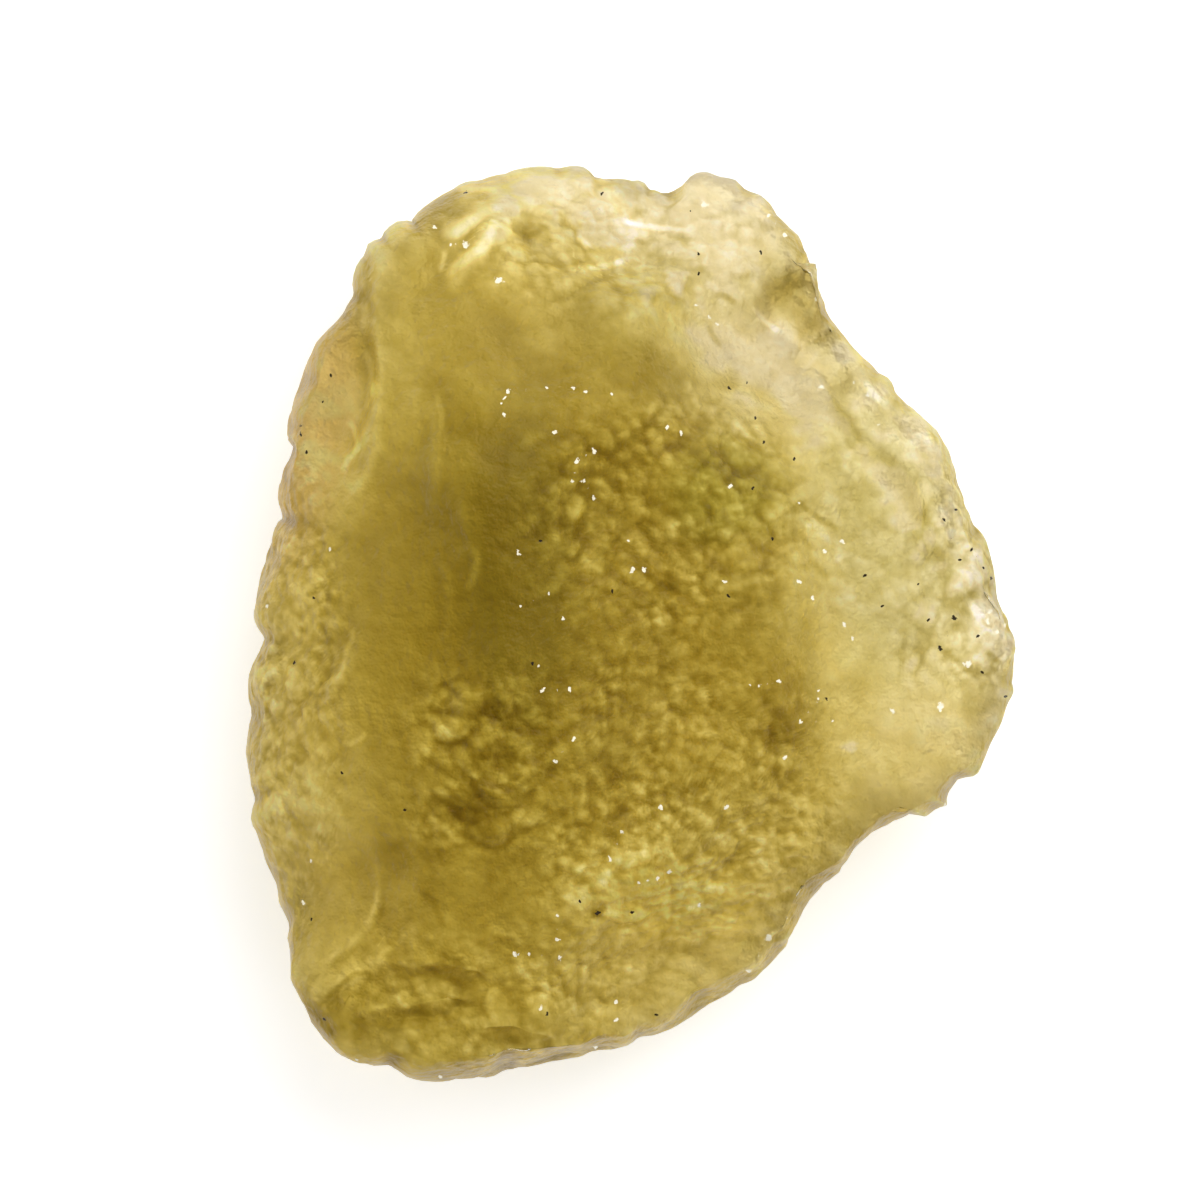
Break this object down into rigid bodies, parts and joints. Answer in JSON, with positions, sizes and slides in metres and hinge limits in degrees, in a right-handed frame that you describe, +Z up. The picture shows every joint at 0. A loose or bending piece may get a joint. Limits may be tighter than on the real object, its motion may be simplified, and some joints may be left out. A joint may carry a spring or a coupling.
{
  "type": "desert glass pebble",
  "caption": "Natural lump of translucent yellow silica glass, wind-worn and pitted, thick at one end and thin at the other, lying on a small flat spot.",
  "frame": {"origin": "on the surface that the stone lies on, under the middle of its bounding box", "axes": "+X across the stone's width, towards its thin right rim; +Y along its length, towards its thin fluted end; +Z up, away from the surface it lies on"},
  "size_m": [0.0385, 0.0458, 0.0149],
  "materials": {
    "desert_glass": "satin, wind-worn"
  },
  "bodies": {
    "root": {"libyan_desert_glass": "desert_glass"}
  },
  "joints": []
}
